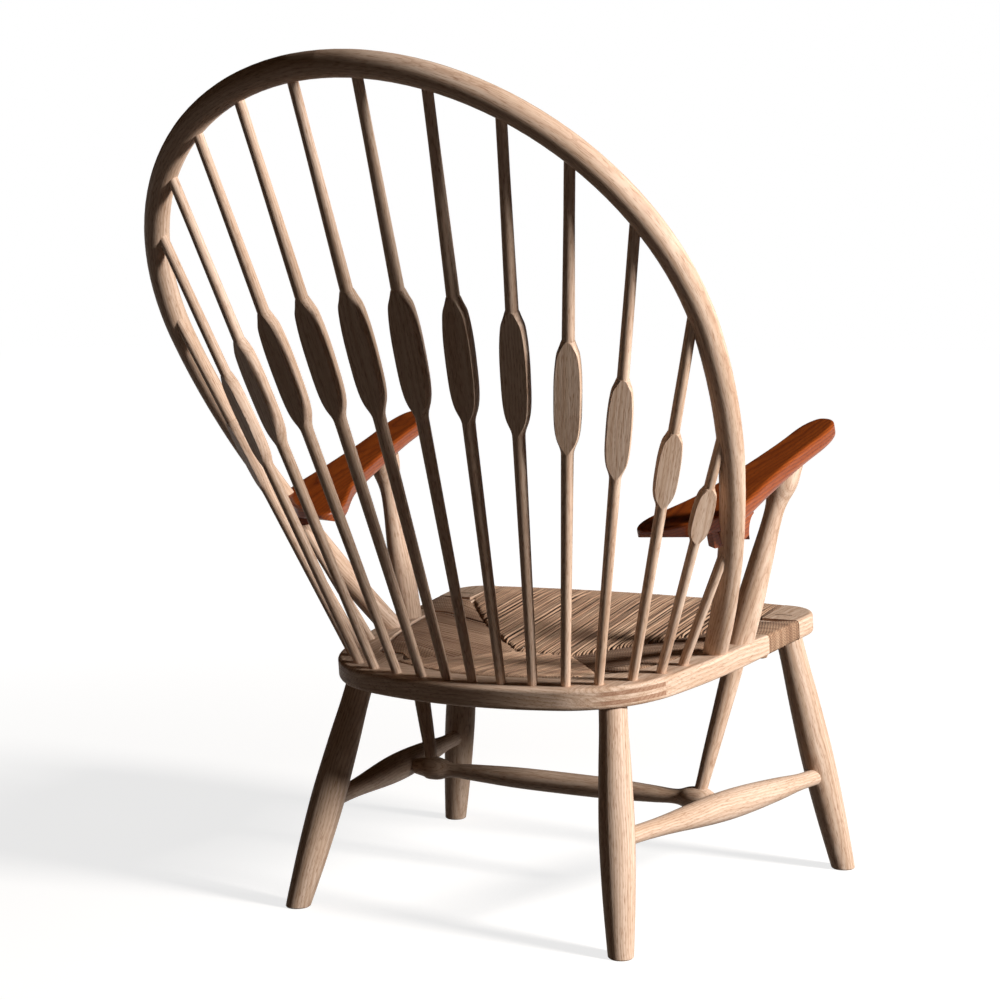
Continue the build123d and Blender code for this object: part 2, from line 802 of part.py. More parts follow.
def hoop_socket():
    foot = hoop_point(hoop_length)
    inside = hoop_point(hoop_length - hoop_tenon_depth)
    return socket(inside, past(inside, foot, hoop_tenon_depth), hoop_tenon_radius)


def seat_sockets():
    """All the round holes in the seat's wood, for the sitter's left."""
    rear_foot, rear_top = rear_leg_axis
    front_foot, front_top = front_leg_axis
    cuts = [spindle_socket_in_seat(number) for number in spindle_numbers]
    cuts.append(hoop_socket())
    cuts.append(socket(rear_foot, rear_tenon_end(), rear_tenon_radius))
    cuts.append(socket(front_foot, front_tenon_end(), front_tenon_radius, overrun))
    cuts.append(socket(post_foot, post_on_seat, post_through_radius, overrun))
    return cuts


def hoop_sockets():
    cuts = [spindle_socket_in_hoop(number) for number in spindle_numbers]
    return cuts + [rod(*arm_dowel_ends(socket_bottom_gap), arm_dowel_radius + fit_clearance)]


# The pieces
left_seat_sockets = seat_sockets()
left_hoop_sockets = hoop_sockets()
all_seat_sockets = left_seat_sockets + mirrored(left_seat_sockets)
post_foot_socket = socket(post_under_seat, post_foot, post_foot_radius)
post_top = past(post_foot, post_under_arm, post_tenon_depth)
dowel_socket = rod(*arm_dowel_ends(socket_bottom_gap), arm_dowel_radius + fit_clearance)
middle_joint = Vector(0, cross_joint.Y, cross_joint.Z)

nodes = {
    "back_hoop": hoop() - left_hoop_sockets - mirrored(left_hoop_sockets),
    "seat_rear_rail": rear_rail() - all_seat_sockets,
    "seat_front_rail": front_rail(),
    "woven_seat": woven_seat(),
    "cross_stretcher": cross_stretcher() - [post_foot_socket, post_foot_socket.mirror(Plane.YZ)],
}
left_nodes = {
    "seat_side_rail": side_rail() - left_seat_sockets,
    "leg_rear": rear_leg(),
    "leg_front": front_leg(),
    "leg_wedge": wedge(),
    "side_stretcher": side_stretcher() - socket(middle_joint, cross_joint, cross_stretcher_end_radius),
    "arm_post": arm_post(),
    "armrest": armrest() - socket(post_on_seat, post_top, post_tenon_radius) - dowel_socket,
    "arm_dowel": rod(*arm_dowel_ends(), arm_dowel_radius),
}
for number in spindle_numbers:
    nodes[f"spindle_left_{number + 1}"] = spindle(number)
    nodes[f"spindle_right_{number + 1}"] = spindle(number).mirror(Plane.YZ)
for name, piece in left_nodes.items():
    nodes[f"{name}_left"] = piece
    nodes[f"{name}_right"] = piece.mirror(Plane.YZ)

for name, piece in nodes.items():
    piece.label = name
    export_step(piece, f"parts/{name}.step")
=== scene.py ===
import bpy
import bmesh
import random
from math import cos, radians, sin, sqrt
from mathutils import Matrix, Vector


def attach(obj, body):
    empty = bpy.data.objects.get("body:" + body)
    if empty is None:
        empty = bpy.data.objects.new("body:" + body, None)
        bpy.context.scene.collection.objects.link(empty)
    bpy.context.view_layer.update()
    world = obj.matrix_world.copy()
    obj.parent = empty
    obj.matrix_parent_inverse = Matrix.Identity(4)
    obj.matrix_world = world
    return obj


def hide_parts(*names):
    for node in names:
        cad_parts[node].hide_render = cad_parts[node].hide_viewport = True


bpy.context.scene.view_settings.view_transform = "Standard"
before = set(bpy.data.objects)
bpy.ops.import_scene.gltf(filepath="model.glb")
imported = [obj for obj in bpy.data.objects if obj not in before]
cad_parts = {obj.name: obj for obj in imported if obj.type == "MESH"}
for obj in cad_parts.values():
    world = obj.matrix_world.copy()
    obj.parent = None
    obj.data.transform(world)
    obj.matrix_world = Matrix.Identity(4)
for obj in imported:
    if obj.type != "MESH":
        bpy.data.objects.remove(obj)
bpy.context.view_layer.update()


# ---------------------------------------------------------------- the back hoop
# The hoop is one long bar of oak, steamed and bent, then rounded and finished with soap. The grain
# follows the bend, so the rings and pores run along the bar, and the soap leaves it pale and matt.

def colour(code):
    """An sRGB hex value as linear red, green, blue and alpha."""
    channels = [int(code[place:place + 2], 16) / 255 for place in (1, 3, 5)]
    return [c / 12.92 if c <= 0.04045 else ((c + 0.055) / 1.055) ** 2.4 for c in channels] + [1]


def add(tree, kind, settings=None, inputs=None, stops=None):
    """Add a node with its settings, and its inputs as values or as links from other sockets."""
    node = tree.nodes.new(kind)
    for name, value in (settings or {}).items():
        setattr(node, name, value)
    for name, value in (inputs or {}).items():
        if isinstance(value, bpy.types.NodeSocket):
            tree.links.new(value, node.inputs[name])
        else:
            node.inputs[name].default_value = value
    for number, (place, code) in enumerate(stops or []):
        points = node.color_ramp.elements
        point = points[number] if number < 2 else points.new(place)
        point.position = place
        point.color = colour(code)
    return node


def blank_material(name):
    material = bpy.data.materials.new(name)
    material.use_nodes = True
    material.node_tree.nodes.clear()
    return material, material.node_tree


def wood_surface(tree, grain, axis, tones, ring_width, ends, pore_length, roughness, shine):
    """Rings, pores and end grain for wood whose grain runs along Z of the grain coordinates.

    The axis is the grain's direction on the object. Faces across it are end grain, which darkens
    between the two shares in ends.
    """
    dark, middle, light = tones
    wave_band = 0.314
    pore_width = 0.0012
    sway = add(tree, "ShaderNodeTexNoise", inputs={"Vector": grain, "Scale": 7.0, "Detail": 2.0})
    sway = add(tree, "ShaderNodeVectorMath", {"operation": "MULTIPLY_ADD"},
               {0: sway.outputs["Color"], 1: (0.012, 0.012, 0.0), 2: grain})
    rings = add(tree, "ShaderNodeTexWave",
                {"wave_type": "RINGS", "rings_direction": "Z", "wave_profile": "SAW"},
                {"Vector": sway.outputs[0], "Scale": wave_band / ring_width, "Distortion": 1.6,
                 "Detail": 2.0, "Detail Scale": 0.6})
    ring_tone = add(tree, "ShaderNodeValToRGB", inputs={"Fac": rings.outputs["Fac"]},
                    stops=[(0.0, middle), (0.55, light), (0.86, middle), (1.0, dark)])
    along = add(tree, "ShaderNodeMapping",
                inputs={"Vector": grain, "Scale": (1.0, 1.0, pore_width / pore_length)})
    pores = add(tree, "ShaderNodeTexNoise",
                inputs={"Vector": along.outputs[0], "Scale": 1100.0, "Detail": 1.0})
    pore_tone = add(tree, "ShaderNodeValToRGB", inputs={"Fac": pores.outputs["Fac"]},
                    stops=[(0.30, "#C2AC9A"), (0.44, "#FFFFFF")])
    streaks = add(tree, "ShaderNodeMapping", inputs={"Vector": grain, "Scale": (1.0, 1.0, 0.04)})
    streaks = add(tree, "ShaderNodeTexNoise",
                  inputs={"Vector": streaks.outputs[0], "Scale": 130.0, "Detail": 3.0})
    streak_tone = add(tree, "ShaderNodeValToRGB", inputs={"Fac": streaks.outputs["Fac"]},
                      stops=[(0.30, "#D2C4B4"), (0.70, "#FFFFFF")])
    normal = add(tree, "ShaderNodeNewGeometry")
    facing = add(tree, "ShaderNodeVectorMath", {"operation": "DOT_PRODUCT"},
                 {0: normal.outputs["Normal"], 1: axis})
    facing = add(tree, "ShaderNodeMath", {"operation": "ABSOLUTE"}, {0: facing.outputs["Value"]})
    end_tone = add(tree, "ShaderNodeValToRGB", inputs={"Fac": facing.outputs[0]},
                   stops=[(ends[0], "#FFFFFF"), (ends[1], "#B79A86")])
    tone = ring_tone.outputs["Color"]
    for layer in (pore_tone, streak_tone, end_tone):
        tone = add(tree, "ShaderNodeMix", {"data_type": "RGBA", "blend_type": "MULTIPLY"},
                   {0: 0.75, 6: tone, 7: layer.outputs["Color"]}).outputs[2]
    rough = add(tree, "ShaderNodeMapRange",
                inputs={"Value": pores.outputs["Fac"], "To Min": roughness + 0.12,
                        "To Max": roughness - 0.06})
    bump = add(tree, "ShaderNodeBump",
               inputs={"Height": pores.outputs["Fac"], "Strength": 0.25, "Distance": 0.0006})
    shader = add(tree, "ShaderNodeBsdfPrincipled",
                 inputs={"Base Color": tone, "Roughness": rough.outputs[0],
                         "Normal": bump.outputs[0], "IOR": 1.5, "Specular IOR Level": shine})
    add(tree, "ShaderNodeOutputMaterial", inputs={"Surface": shader.outputs[0]})


soaped_oak = ("#BC9C85", "#CEB099", "#DCC2AC")
soaped = {"pore_length": 0.016, "roughness": 0.56, "shine": 0.2}


def dress(node, material):
    """Give a CAD node its material."""
    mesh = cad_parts[node].data
    mesh.materials.clear()
    mesh.materials.append(material)


def bent_oak():
    """Oak whose grain bends with the hoop.

    The grain coordinates are the distance from the bend's centre, the place across the hoop's
    plane, and the length along the hoop. Below the centre the hoop is drawn in towards the middle.
    """
    material, tree = blank_material("oak_soaped_bent")
    bend_radius, bend_centre = 0.362, (0.0, 0.1710, 0.7250)
    lean = radians(35.43)
    drawn_in_rate = 0.52
    pith_inside_bend = 0.03
    place = add(tree, "ShaderNodeTexCoord")
    place = add(tree, "ShaderNodeMapping", {"vector_type": "TEXTURE"},
                {"Vector": place.outputs["Object"], "Location": bend_centre,
                 "Rotation": (-lean, 0, 0)})
    place = add(tree, "ShaderNodeSeparateXYZ", inputs={0: place.outputs[0]})
    above = add(tree, "ShaderNodeMath", {"operation": "MAXIMUM"}, {0: place.outputs["Z"], 1: 0.0})
    below = add(tree, "ShaderNodeMath", {"operation": "MINIMUM"}, {0: place.outputs["Z"], 1: 0.0})
    across = add(tree, "ShaderNodeMath", {"operation": "ABSOLUTE"}, {0: place.outputs["X"]})
    drawn_in = add(tree, "ShaderNodeMath", {"operation": "POWER"}, {0: below.outputs[0], 1: 2.0})
    across = add(tree, "ShaderNodeMath", {"operation": "MULTIPLY_ADD"},
                 {0: drawn_in.outputs[0], 1: drawn_in_rate, 2: across.outputs[0]})
    reach = add(tree, "ShaderNodeCombineXYZ", inputs={0: across.outputs[0], 1: above.outputs[0]})
    reach = add(tree, "ShaderNodeVectorMath", {"operation": "LENGTH"}, {0: reach.outputs[0]})
    turn = add(tree, "ShaderNodeMath", {"operation": "ARCTAN2"},
               {0: place.outputs["X"], 1: above.outputs[0]})
    along = add(tree, "ShaderNodeMath", {"operation": "MULTIPLY_ADD"},
                {0: turn.outputs[0], 1: bend_radius, 2: below.outputs[0]})
    reach = add(tree, "ShaderNodeMath", {"operation": "SUBTRACT"},
                {0: reach.outputs["Value"], 1: bend_radius - pith_inside_bend})
    grain = add(tree, "ShaderNodeCombineXYZ",
                inputs={0: reach.outputs[0], 1: place.outputs["Y"], 2: along.outputs[0]})
    wood_surface(tree, grain.outputs[0], (0, 0, 0), soaped_oak, 0.0034, (0.8, 1.0), **soaped)
    return material


dress("back_hoop", bent_oak())


# ---------------------------------------------------------------- the spindles
# Sixteen oak spindles are turned round, and all but the outermost pair swell into a paddle whose
# two faces are planed flat. The grain runs straight along each spindle, with fine dark pores.

def wood_along(name, line, facing=0.0, pith=(0.03, 0.02), tones=soaped_oak, ring_width=0.0032,
               ends=(0.93, 0.99), finish=soaped):
    """Wood whose grain runs along a line between two points, with the log's pith beside it."""
    material, tree = blank_material(name)
    start, end = Vector(line[0]), Vector(line[1])
    turn = (end - start).to_track_quat("Z", "Y") @ Matrix.Rotation(facing, 3, "Z").to_quaternion()
    heart = start + turn @ Vector((pith[0], pith[1], 0))
    place = add(tree, "ShaderNodeTexCoord")
    grain = add(tree, "ShaderNodeMapping", {"vector_type": "TEXTURE"},
                {"Vector": place.outputs["Object"], "Location": heart, "Rotation": turn.to_euler()})
    axis = (end - start).normalized()
    wood_surface(tree, grain.outputs[0], axis, tones, ring_width, ends, **finish)
    return material


def on_side(sign, line):
    """A line of the sitter's left side, or with the sign -1 its mirror image on the right."""
    return [(sign * x, y, z) for x, y, z in line]


both_sides = (("left", 1), ("right", -1))
spindle_lines = [
    ((0.2287, -0.0433, 0.3204), (0.3145, 0.0037, 0.4899)),
    ((0.2189, -0.0026, 0.3163), (0.3542, 0.1045, 0.6315)),
    ((0.2009, 0.0380, 0.3121), (0.3591, 0.1977, 0.7625)),
    ((0.1713, 0.0685, 0.3090), (0.3224, 0.2664, 0.8591)),
    ((0.1363, 0.0864, 0.3072), (0.2675, 0.3124, 0.9237)),
    ((0.0967, 0.0960, 0.3062), (0.2028, 0.3449, 0.9694)),
    ((0.0566, 0.1022, 0.3056), (0.1250, 0.3680, 1.0019)),
    ((0.0180, 0.1051, 0.3053), (0.0429, 0.3794, 1.0179)),
]
choice = random.Random(7)
for number, line in enumerate(spindle_lines):
    for side, sign in both_sides:
        heart = (choice.uniform(-0.03, 0.03), choice.uniform(0.02, 0.06))
        node = f"spindle_{side}_{number + 1}"
        dress(node, wood_along(f"oak_soaped_{node}", on_side(sign, line),
                               facing=choice.uniform(-0.3, 0.3), pith=heart))


# ---------------------------------------------------------------- the seat frame
# Four oak rails, sawn from thick board and finger-jointed at the rear corners, make the seat frame.
# The grain runs along each rail, so the sawn curves and the fingers show rings and end grain.

rear_rail_line = ((-0.2, 0.09, 0.29), (0.2, 0.10, 0.295))
front_rail_line = ((-0.2, -0.38, 0.34), (0.2, -0.375, 0.34))
side_rail_line = ((0.22, 0.05, 0.30), (0.27, -0.38, 0.342))
dress("seat_rear_rail", wood_along("oak_soaped_rear_rail", rear_rail_line, pith=(0.004, 0.055),
                                   ring_width=0.0042, ends=(0.50, 0.60)))
dress("seat_front_rail", wood_along("oak_soaped_front_rail", front_rail_line))
for side, sign in both_sides:
    dress(f"seat_side_rail_{side}",
          wood_along(f"oak_soaped_side_rail_{side}", on_side(sign, side_rail_line),
                     pith=(0.012, 0.045), ring_width=0.0048))


# ---------------------------------------------------------------- the legs
# Four turned oak legs lean outwards. The rear ones end in blind tenons, and the front ones come up
# through the corner blocks, where a dark wedge spreads each tenon and is cut level with the seat.

leg_lines = {
    "leg_rear": ((0.2305, 0.1277, 0.0), (0.1810, 0.0506, 0.2837)),
    "leg_front": ((0.3062, -0.3821, 0.0), (0.2498, -0.3219, 0.3217)),
}
for name, line in leg_lines.items():
    for side, sign in both_sides:
        heart = (choice.uniform(-0.05, 0.05), choice.uniform(0.02, 0.06))
        dress(f"{name}_{side}", wood_along(f"oak_soaped_{name}_{side}", on_side(sign, line),
                                           pith=heart, ends=(0.999, 1.0)))
dark_oak = ("#4A3627", "#5E4633", "#6E543E")
for side, sign in both_sides:
    dress(f"leg_wedge_{side}", wood_along(f"oak_smoked_wedge_{side}",
                                          on_side(sign, leg_lines["leg_front"]), tones=dark_oak))


# ---------------------------------------------------------------- the stretchers
# Two side stretchers and a cross stretcher, all turned in oak, hold the legs. The cross stretcher
# swells into a ball under each arm post, and its ends are plugged into the side stretchers.

cross_stretcher_line = ((-0.25, -0.15, 0.1295), (0.25, -0.15, 0.1295))
side_stretcher_line = ((0.2079, 0.0925, 0.1295), (0.2835, -0.3578, 0.1295))
dress("cross_stretcher", wood_along("oak_soaped_cross_stretcher", cross_stretcher_line))
for side, sign in both_sides:
    dress(f"side_stretcher_{side}",
          wood_along(f"oak_soaped_side_stretcher_{side}", on_side(sign, side_stretcher_line),
                     pith=(0.02, 0.035)))


# ---------------------------------------------------------------- the arm posts
# Each turned oak post rises from a ball of the cross stretcher, through the seat frame, and swells
# at its head under the armrest.

arm_post_line = ((0.1995, -0.15, 0.1295), (0.3012, -0.1908, 0.5568))
for side, sign in both_sides:
    dress(f"arm_post_{side}", wood_along(f"oak_soaped_arm_post_{side}",
                                         on_side(sign, arm_post_line), pith=(0.03, 0.03)))


# ---------------------------------------------------------------- the armrests
# The armrests are oiled teak: a plank shaped like a leaf, with a block under it that hugs the hoop.
# Oil gives a deep red-brown with darker streaks along the plank, and a soft sheen. An oak dowel
# joins each to the hoop, out of sight.

teak = ("#64270C", "#823B10", "#964814")
oiled = {"pore_length": 0.012, "roughness": 0.38, "shine": 0.4}
armrest_line = ((0.27, 0.06, 0.50), (0.30, -0.30, 0.60))
dowel_line = ((0.3206, 0.01, 0.509), (0.32, -0.0254, 0.5196))
for side, sign in both_sides:
    dress(f"armrest_{side}", wood_along(f"teak_oiled_{side}", on_side(sign, armrest_line),
                                        pith=(0.02, 0.07), tones=teak, ring_width=0.0036,
                                        finish=oiled))
    dress(f"arm_dowel_{side}", wood_along(f"oak_dowel_{side}", on_side(sign, dowel_line)))


# ---------------------------------------------------------------- the woven seat
# The seat is woven from three-ply twisted paper cord. It goes round the front rail, round the side
# rails between the slots and the corner blocks, and down through a slot in each of the other rails,
# and its four panels meet in mitres where each cord dives between the two layers.

cord_radius = 0.00155
cord_pitch = 0.00345
rail_bend = 0.0036
slot_bend = 0.0024
seat_rise = radians(5.83)
seat_place = Matrix.Translation((0, 0.1253, 0.3032)) @ Matrix.Rotation(-seat_rise, 4, "X")
seat_bottom = -0.027
seat_depth = 0.5163
seat_half_width = 0.2828
slot_half_width = 0.00375
seat_middle = 0.2332
wrap_start = 0.334
side_panel_drop = 0.0028
front_inside = 0.4689
rear_inside = 0.069
fleck = random.Random(11)

# The mitres pair half widths with setbacks from the rear edge. mitre_heights pairs setbacks with
# the cord's height at the mitre, and side_inside pairs them with the side rails' inner edge.
front_mitre = [(0.0, seat_middle), (0.038, seat_middle), (0.073, 0.2613), (0.133, 0.3176),
               (0.167, 0.3569), (0.228, 0.4342)]
rear_mitre = [(0.0, seat_middle), (0.038, seat_middle), (0.094, 0.1769), (0.146, 0.1025)]
mitre_heights = [(0.1025, -0.0010), (0.1769, -0.0140), (seat_middle, -0.0168), (0.2613, -0.0125),
                 (0.3176, -0.0085), (0.3569, -0.0060), (0.4342, -0.0012)]
side_inside = [(0.100, 0.135), (0.198, 0.188), (0.336, 0.212), (0.469, 0.222)]


def on_line(points, value, swap=False):
    """Read a line of points at a value of its first number, or of its second when swapped."""
    pairs = sorted((b, a) if swap else (a, b) for a, b in points)
    for (near, low), (far, high) in zip(pairs, pairs[1:]):
        if value <= far:
            share = (value - near) / max(far - near, 1e-9)
            return low + (high - low) * share
    return pairs[-1][1]


def round_edge(edge, bend):
    """The cord's way round a rail's outer edge, or down a slot, from the top to the underside."""
    top, low = -cord_radius, seat_bottom + cord_radius
    way = []
    for turn in (0, 30, 60, 90):
        out, up = bend * sin(radians(turn)), bend * cos(radians(turn))
        way.append((edge - bend + out, top - bend + up))
    for turn in (90, 60, 30, 0):
        out, up = bend * sin(radians(turn)), bend * cos(radians(turn))
        way.append((edge - bend + out, low + bend - up))
    return way


def cord_route(spot, mitre, inside, edge, bend, height, shake):
    """One cord from between the layers, up in a hook at its mitre, over its rail and back below."""
    raised = fleck.gauss(0, shake) - 0.6 * shake
    tail = (height + seat_bottom) / 2
    hook_length, knot_spacing = 0.007, 0.03
    hook = [(-0.011, tail), (-0.003, tail + 0.0005), (-0.0006, height - 0.0048),
            (0.0008, height - 0.0026), (0.003, height - 0.0009), (hook_length, height)]
    top = [(mitre + gone, level) for gone, level in hook if mitre + gone < edge - 0.006]
    steps = max(2, round((inside - mitre) / knot_spacing))
    for number in range(1, steps + 1):
        place = mitre + hook_length + (inside - mitre - hook_length) * number / steps
        if top[-1][0] + 0.004 < place < edge - 0.004:
            top.append((place, height * (1 - number / steps)))
    turn = fleck.uniform(0, 6.28)
    points = []
    for number, (place, level) in enumerate(top):
        held = 0.0 if number < 3 else 1.0
        wave = shake * 0.8 * sin(turn + place * 40)
        points.append(spot(place, wave * held, level - cord_radius + raised * held))
    below = seat_bottom + cord_radius
    low = [(mitre - 0.011, tail - 0.003), (mitre, below + 0.004),
           (mitre + 0.012, below - 0.2 * height)]
    for place, level in round_edge(edge, bend) + low[::-1]:
        points.append(spot(place, 0.0, level))
    return [seat_place @ Vector(point) for point in points]


def cord_material():
    """Unbleached twisted kraft paper: light tan, matt and slightly furry, with a helix of plies."""
    material, tree = blank_material("paper_cord_twisted")
    full_turn, plies_in_cord, turns_per_metre = 6.2832, 3, 85.0
    lay = add(tree, "ShaderNodeUVMap", {"uv_map": "along_and_round"})
    lay = add(tree, "ShaderNodeSeparateXYZ", inputs={0: lay.outputs[0]})
    twist = add(tree, "ShaderNodeMath", {"operation": "MULTIPLY_ADD"},
                {0: lay.outputs["X"], 1: turns_per_metre, 2: lay.outputs["Y"]})
    phase = add(tree, "ShaderNodeMath", {"operation": "MULTIPLY"},
                {0: twist.outputs[0], 1: full_turn * plies_in_cord})
    plies = add(tree, "ShaderNodeMath", {"operation": "SINE"}, {0: phase.outputs[0]})
    tone = add(tree, "ShaderNodeAttribute", {"attribute_name": "tone"})
    place = add(tree, "ShaderNodeTexCoord")
    fuzz, spots = [
        add(tree, "ShaderNodeTexNoise",
            inputs={"Vector": place.outputs["Object"], "Scale": scale, "Detail": 3.0})
        for scale in (620.0, 38.0)
    ]
    mixed = add(tree, "ShaderNodeMath", {"operation": "MULTIPLY_ADD"},
                {0: spots.outputs["Fac"], 1: 0.6, 2: tone.outputs["Fac"]})
    paper = add(tree, "ShaderNodeValToRGB", inputs={"Fac": mixed.outputs[0]},
                stops=[(0.20, "#886650"), (0.95, "#C8A486"), (0.55, "#A88367")])
    # Painted shade: the paper is multiplied darker along the grooves between the plies, on top of
    # the bump.
    groove_shade = add(tree, "ShaderNodeMapRange",
                  inputs={"Value": plies.outputs[0], "From Min": -1.0,
                          "To Min": 0.66, "To Max": 1.0})
    shade = add(tree, "ShaderNodeMix", {"data_type": "RGBA", "blend_type": "MULTIPLY"},
                {0: 1.0, 6: paper.outputs["Color"], 7: groove_shade.outputs[0]})
    height = add(tree, "ShaderNodeMath", {"operation": "MULTIPLY_ADD"},
                 {0: plies.outputs[0], 1: 0.35, 2: fuzz.outputs["Fac"]})
    bump = add(tree, "ShaderNodeBump",
               inputs={"Height": height.outputs[0], "Strength": 0.6, "Distance": 0.0005})
    shader = add(tree, "ShaderNodeBsdfPrincipled",
                 inputs={"Base Color": shade.outputs[2], "Roughness": 0.86,
                         "Normal": bump.outputs[0], "Specular IOR Level": 0.15,
                         "Sheen Weight": 0.06, "Sheen Roughness": 0.6})
    add(tree, "ShaderNodeOutputMaterial", inputs={"Surface": shader.outputs[0]})
    return material


twisted_paper = cord_material()


def weave_panel(name, routes):
    """Lay cord along the routes as one mesh, which keeps the length along and round each cord."""
    curve = bpy.data.curves.new(name, "CURVE")
    curve.dimensions = "3D"
    curve.bevel_depth = cord_radius
    curve.bevel_resolution = 1
    for points in routes:
        spline = curve.splines.new("POLY")
        spline.points.add(len(points) - 1)
        thick = fleck.uniform(0.94, 1.04)
        for knot, point in zip(spline.points, points):
            knot.co = (*point, 1)
            knot.radius = thick
    draft = bpy.data.objects.new(name + "_draft", curve)
    mesh = bpy.data.meshes.new_from_object(draft)
    bpy.data.objects.remove(draft)
    sides = len(mesh.vertices) // sum(len(points) for points in routes)
    tone = mesh.attributes.new("tone", "FLOAT", "POINT")
    gone, cord_of = [], []
    for points in routes:
        shade = fleck.uniform(0.12, 0.46)
        length = 0.0
        for number, point in enumerate(points):
            if number:
                length += (point - points[number - 1]).length
            gone += [length] * sides
            cord_of += [shade] * sides
    for place, shade in enumerate(cord_of):
        tone.data[place].value = shade
    rounds = mesh.uv_layers[0]
    around = mesh.uv_layers.new(name="along_and_round")
    for loop in mesh.loops:
        was = rounds.data[loop.index].uv
        around.data[loop.index].uv = (gone[loop.vertex_index], was[0])
    mesh.uv_layers.remove(mesh.uv_layers[0])
    shape = bmesh.new()
    shape.from_mesh(mesh)
    bmesh.ops.holes_fill(shape, edges=[edge for edge in shape.edges if edge.is_boundary], sides=0)
    bmesh.ops.recalc_face_normals(shape, faces=shape.faces)
    for face in shape.faces:
        face.smooth = True
    shape.to_mesh(mesh)
    shape.free()
    piece = bpy.data.objects.new(name, mesh)
    bpy.context.scene.collection.objects.link(piece)
    mesh.materials.append(twisted_paper)
    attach(piece, "root")
    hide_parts("woven_seat")


def rows(start, end, gap_chance, gap):
    """Places of side-by-side cords, packed tight but for a chance gap every few cords."""
    count = round((end - start) / cord_pitch)
    slack = [cord_pitch + (gap if fleck.random() < gap_chance else 0.0) for number in range(count)]
    fit = (end - start) / sum(slack)
    place, places = start, []
    for step in slack:
        places.append(place + step * fit / 2)
        place += step * fit
    return places


def front_edge(x):
    """Setback of a front cord where it goes over the bowed front edge."""
    twice_bow_radius = 3.56
    return seat_depth - cord_radius - x * x / twice_bow_radius


def rear_slot(x):
    """Setback of a rear cord in its slot, which is an arc."""
    slot_setback, slot_radius = 0.0518, 0.297
    reach = sqrt(slot_radius ** 2 - x * x)
    return slot_setback + slot_half_width - cord_radius + slot_radius - reach


def side_slot(setback):
    """Half width of a side cord in its slot, on the parabola through three places."""
    near, centre, far = (0.120, 0.1785), (0.2143, 0.2100), (0.3320, 0.2282)
    total = -slot_half_width + cord_radius
    for here, other, third in ((near, centre, far), (centre, near, far), (far, near, centre)):
        share = (setback - other[0]) * (setback - third[0])
        share = share / (here[0] - other[0]) / (here[0] - third[0])
        total += here[1] * share
    return total


def side_edge(setback):
    """Half width of a side cord where it goes over the straight side edge."""
    widest, narrowing = 0.4937, 0.08046
    return seat_half_width - cord_radius - narrowing * (widest - setback)


def front_cord(row):
    def spot(place, aside, height):
        return row + aside, -place, height
    mitre = on_line(front_mitre, abs(row))
    height = on_line(mitre_heights, mitre)
    return cord_route(spot, mitre, front_inside, front_edge(row), rail_bend, height, 0.0008)


def rear_cord(row):
    """A rear cord runs from the mitre back to its slot, so its places count backwards."""
    def spot(place, aside, height):
        return row + aside, place, height
    mitre = on_line(rear_mitre, abs(row))
    height = on_line(mitre_heights, mitre)
    return cord_route(spot, -mitre, -rear_inside, -rear_slot(row), slot_bend, height, 0.0005)


def side_cord(row, sign):
    def spot(place, aside, height):
        return sign * place, -(row + aside), height
    mitre = on_line((rear_mitre if row < seat_middle else front_mitre)[1:], row, swap=True)
    edge, bend = (side_edge(row), rail_bend) if row > wrap_start else (side_slot(row), slot_bend)
    height = on_line(mitre_heights, row) - side_panel_drop
    return cord_route(spot, mitre, on_line(side_inside, row), edge, bend, height, 0.0003)


places = rows(-0.2235, 0.2235, gap_chance=0.35, gap=0.0012)
weave_panel("paper_cord_front", [front_cord(row) for row in places])
places = rows(-0.131, 0.131, gap_chance=0.25, gap=0.0009)
weave_panel("paper_cord_rear", [rear_cord(row) for row in places])
for side, sign in both_sides:
    places = rows(0.121, 0.3310, gap_chance=0.06, gap=0.0006)
    places += rows(0.3375, 0.4205, gap_chance=0.0, gap=0.0)
    weave_panel(f"paper_cord_{side}", [side_cord(row, sign) for row in places])
loose_end = [(-0.2660, -0.3395, -0.0250), (-0.2660, -0.3360, -0.0284),
             (-0.2630, -0.3325, -0.0290), (-0.2580, -0.3315, -0.0288),
             (-0.2550, -0.3345, -0.0288)]
weave_panel("paper_cord_end", [[seat_place @ Vector(point) for point in loose_end]])


# ---------------------------------------------------------------- floor, light and camera
# A floor that the camera sees as near white, with the chair's shadow on it, one lamp from the
# right of the view, and a weak warm fill from its left.

floor = bpy.data.objects.new("floor", bpy.data.meshes.new("floor"))
shape = bmesh.new()
bmesh.ops.create_grid(shape, x_segments=1, y_segments=1, size=30)
shape.to_mesh(floor.data)
shape.free()
bpy.context.scene.collection.objects.link(floor)
paper, tree = blank_material("floor_paper")
seen = add(tree, "ShaderNodeLightPath")
seen = add(tree, "ShaderNodeMath", {"operation": "MAXIMUM"},
           {0: seen.outputs["Is Camera Ray"], 1: seen.outputs["Is Glossy Ray"]})
near = add(tree, "ShaderNodeTexCoord")
near = add(tree, "ShaderNodeVectorMath", {"operation": "LENGTH"}, {0: near.outputs["Object"]})
near = add(tree, "ShaderNodeMapRange",
           inputs={"Value": near.outputs["Value"], "From Min": 1.0, "From Max": 3.0,
                   "To Min": 0.80, "To Max": 1.0})
level = add(tree, "ShaderNodeMath", {"operation": "MULTIPLY"},
            {0: seen.outputs[0], 1: near.outputs[0]})
tint = add(tree, "ShaderNodeMix", {"data_type": "RGBA"},
           {0: seen.outputs[0], 6: colour("#3E3733"), 7: colour("#A09C98")})
matt = add(tree, "ShaderNodeBsdfDiffuse", inputs={"Color": tint.outputs[2]})
glow = add(tree, "ShaderNodeEmission", inputs={"Strength": level.outputs[0]})
seen_floor = add(tree, "ShaderNodeAddShader", inputs={0: matt.outputs[0], 1: glow.outputs[0]})
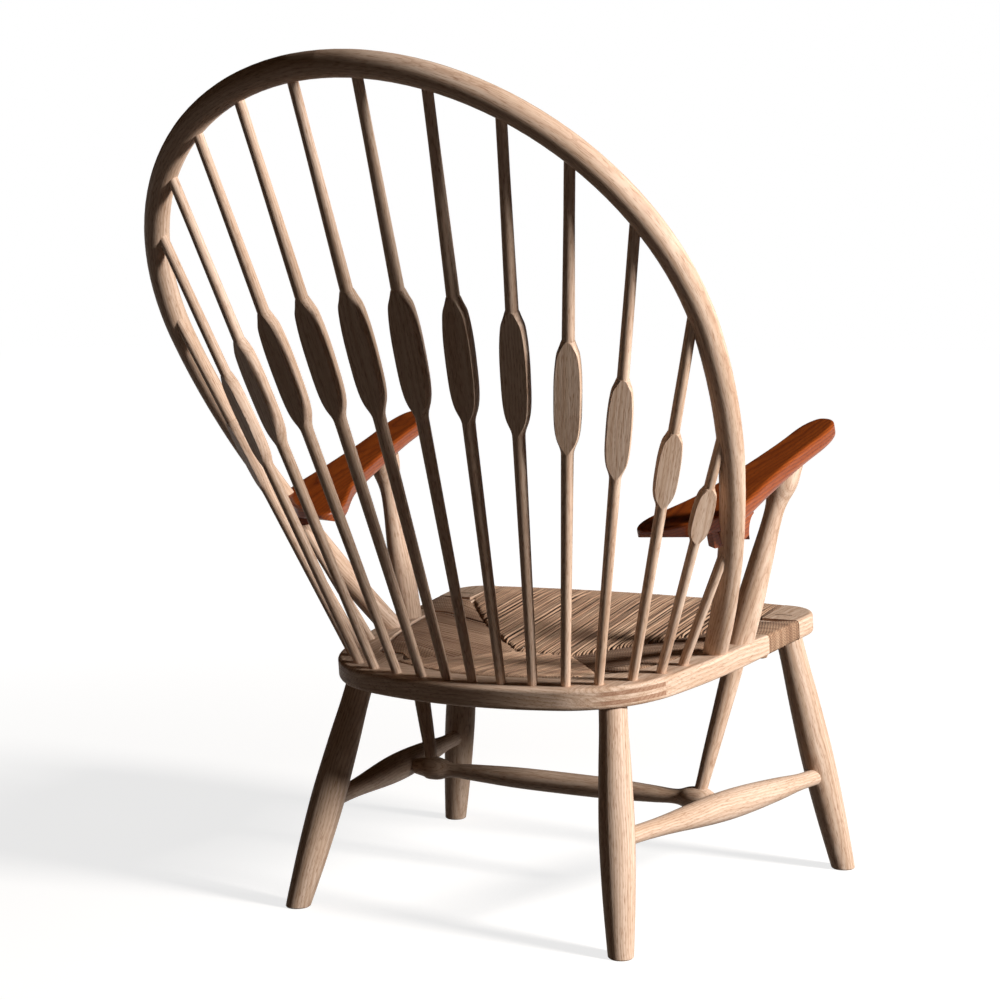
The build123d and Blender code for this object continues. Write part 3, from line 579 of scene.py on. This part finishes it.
add(tree, "ShaderNodeOutputMaterial", inputs={"Surface": seen_floor.outputs[0]})
floor.data.materials.append(paper)

world = bpy.data.worlds.new("studio")
bpy.context.scene.world = world
world.use_nodes = True
world.node_tree.nodes.clear()
seen = add(world.node_tree, "ShaderNodeLightPath")
seen = add(world.node_tree, "ShaderNodeMath", {"operation": "MAXIMUM"},
           {0: seen.outputs["Is Camera Ray"], 1: seen.outputs["Is Transmission Ray"]})
level = add(world.node_tree, "ShaderNodeMapRange",
            inputs={"Value": seen.outputs[0], "To Min": 0.014, "To Max": 1.0})
tint = add(world.node_tree, "ShaderNodeMix", {"data_type": "RGBA"},
           {0: seen.outputs[0], 6: colour("#FFD2A8"), 7: colour("#FFFFFF")})
glow = add(world.node_tree, "ShaderNodeBackground",
           inputs={"Color": tint.outputs[2], "Strength": level.outputs[0]})
add(world.node_tree, "ShaderNodeOutputWorld", inputs={"Surface": glow.outputs[0]})


def lamp(name, place, target, size, power, tint="#FFFFFF"):
    light = bpy.data.lights.new(name, "AREA")
    light.shape = "DISK"
    light.size = size
    light.energy = power
    light.color = colour(tint)[:3]
    holder = bpy.data.objects.new(name, light)
    bpy.context.scene.collection.objects.link(holder)
    holder.location = place
    holder.rotation_euler = (Vector(target) - Vector(place)).to_track_quat("-Z", "Y").to_euler()


lamp("key", (-3.66, -0.06, 1.83), target=(0, 0.1, 0.5), size=0.8, power=290)
lamp("fill", (1.5, 3.6, 2.2), target=(0, 0, 0.5), size=3.0, power=2, tint="#FFD2A8")

ahead = Vector((0.50217503, -0.86022081, -0.08854606))
right = Vector((-0.86392554, -0.50356337, -0.00752316))
up = Vector((0.03811697, -0.08027514, 0.99604367))
lens = bpy.data.cameras.new("camera")
lens.sensor_width = 36.0
lens.lens = 79.2
camera = bpy.data.objects.new("camera", lens)
bpy.context.scene.collection.objects.link(camera)
turned = Matrix((right, up, -ahead)).transposed().to_4x4()
camera.matrix_world = Matrix.Translation((-1.3767, 2.3629, 0.7601)) @ turned
bpy.context.scene.camera = camera
